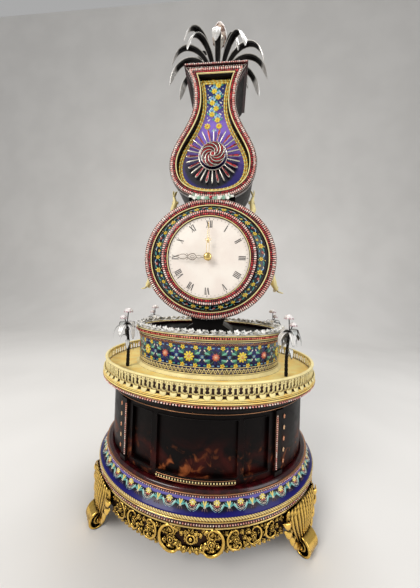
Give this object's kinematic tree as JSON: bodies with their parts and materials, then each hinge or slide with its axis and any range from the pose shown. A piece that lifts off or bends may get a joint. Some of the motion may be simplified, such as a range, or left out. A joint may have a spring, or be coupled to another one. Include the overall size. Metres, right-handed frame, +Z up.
{
  "type": "table clock",
  "caption": "Gilt and enamelled double-gourd table clock with whirligig, lotus tub, railed platform, lacquered plinth and a cast base on scroll feet.",
  "frame": {"origin": "on the ground under the middle of the base", "axes": "+Z up, the dial faces -Y, +X to the viewer's right"},
  "size_m": [0.352, 0.2912, 0.8108],
  "materials": {
    "gilt": "burnished gilding",
    "pale_gilt": "bright matt gilding",
    "silver": "silvered leaf",
    "blue_enamel": "painted glossy enamel",
    "cavetto_enamel": "painted glossy enamel with a garland",
    "red_paste": "foiled red paste stones in gilt settings",
    "dark_lacquer": "dark red-brown lacquer",
    "dark_wood": "ebonised",
    "dark_bronze": "patinated dark",
    "white_enamel": "glossy dial enamel with black numerals",
    "movement_brass": "polished",
    "pond_mirror": "dark mirror"
  },
  "bodies": {
    "clock": {"base_apron": "gilt", "foot_front_right": "gilt", "foot_front_left": "gilt", "foot_rear_right": "gilt", "foot_rear_left": "gilt", "drum_scroll_left": "gilt", "drum_scroll_right": "gilt", "shoulder_scroll_left": "gilt", "shoulder_scroll_right": "gilt", "mouth_plate": "gilt", "fruit_finial": "gilt", "rope_moulding": "pale_gilt", "platform_deck": "pale_gilt", "gallery": "pale_gilt", "gallery_rail": "pale_gilt", "tub_wreath": "silver", "leaf_spray": "silver", "tree_front_right": "silver", "tree_front_left": "silver", "tree_rear_right": "silver", "tree_rear_left": "silver", "tub": "blue_enamel", "drum_case": "blue_enamel", "enamel_band": "blue_enamel", "lobe_case": "blue_enamel", "lobe_panel": "blue_enamel", "enamel_cavetto": "cavetto_enamel", "plinth_foot": "red_paste", "tub_rim": "red_paste", "drum_border": "red_paste", "dial_bezel": "red_paste", "lobe_border": "red_paste", "plinth_wall": "dark_lacquer", "bay_lining": "dark_lacquer", "plinth_cornice": "dark_lacquer", "pilaster_front_right": "dark_lacquer", "pilaster_front_left": "dark_lacquer", "pilaster_rear_right": "dark_lacquer", "pilaster_rear_left": "dark_lacquer", "base_board": "dark_wood", "gourd_socle": "dark_bronze", "saddle": "dark_bronze", "dial": "white_enamel", "bay_sill": "movement_brass", "music_frame": "movement_brass", "movement_front_plate": "movement_brass", "movement_back_plate": "movement_brass", "pond_mirror": "pond_mirror"},
    "minute_works": {"centre_arbor": "movement_brass", "minute_hand": "gilt"},
    "hour_works": {"hour_wheel": "movement_brass", "hour_hand": "gilt"},
    "motion_wheel": {"motion_wheel": "movement_brass"},
    "barrel": {"spring_barrel": "movement_brass"},
    "pendulum": {"pendulum": "movement_brass"},
    "ray_star": {"ray_star": "red_paste"},
    "pinwheel": {"pinwheel": "red_paste"},
    "drum_door": {"drum_rear_door": "gilt"},
    "plinth_door": {"plinth_rear_door": "dark_lacquer"},
    "music_cylinder": {"music_cylinder": "movement_brass"}
  },
  "joints": [
    {"name": "barrel_turn", "type": "hinge", "parent": "clock", "child": "barrel", "pos_m": [0.01981, 0, 0.36091], "axis": [0, 1, 0], "continuous": true},
    {"name": "minute_turn", "type": "hinge", "parent": "clock", "child": "minute_works", "pos_m": [0, -0.07, 0.3807], "axis": [0, 1, 0], "continuous": true},
    {"name": "hour_turn", "type": "hinge", "parent": "clock", "child": "hour_works", "pos_m": [0, -0.06, 0.3807], "axis": [0, 1, 0], "continuous": true},
    {"name": "motion_turn", "type": "hinge", "parent": "clock", "child": "motion_wheel", "pos_m": [0, -0.045, 0.3627], "axis": [0, 1, 0], "continuous": true},
    {"name": "pendulum_swing", "type": "hinge", "parent": "clock", "child": "pendulum", "pos_m": [0, 0.021, 0.4207], "axis": [0, 1, 0], "range_deg": [-5, 5]},
    {"name": "star_turn", "type": "hinge", "parent": "clock", "child": "ray_star", "pos_m": [0, -0.04, 0.547], "axis": [0, 1, 0], "continuous": true},
    {"name": "pinwheel_turn", "type": "hinge", "parent": "clock", "child": "pinwheel", "pos_m": [0, -0.045, 0.547], "axis": [0, 1, 0], "continuous": true},
    {"name": "drum_door_hinge", "type": "hinge", "parent": "clock", "child": "drum_door", "pos_m": [0.104, 0.0478, 0.3807], "axis": [0, 0, -1], "range_deg": [0, 110]},
    {"name": "plinth_door_hinge", "type": "hinge", "parent": "clock", "child": "plinth_door", "pos_m": [0.0624, 0.1206, 0.141], "axis": [0, 0, -1], "range_deg": [0, 100]},
    {"name": "music_turn", "type": "hinge", "parent": "clock", "child": "music_cylinder", "pos_m": [0, 0.03, 0.1343], "axis": [1, 0, 0], "continuous": true}
  ],
  "couplings": [
    {"joint": "minute_turn", "follows": "barrel_turn", "ratio": -4},
    {"joint": "motion_turn", "follows": "barrel_turn", "ratio": 1.3333},
    {"joint": "hour_turn", "follows": "barrel_turn", "ratio": -0.33333},
    {"joint": "pinwheel_turn", "follows": "star_turn", "ratio": -1}
  ]
}
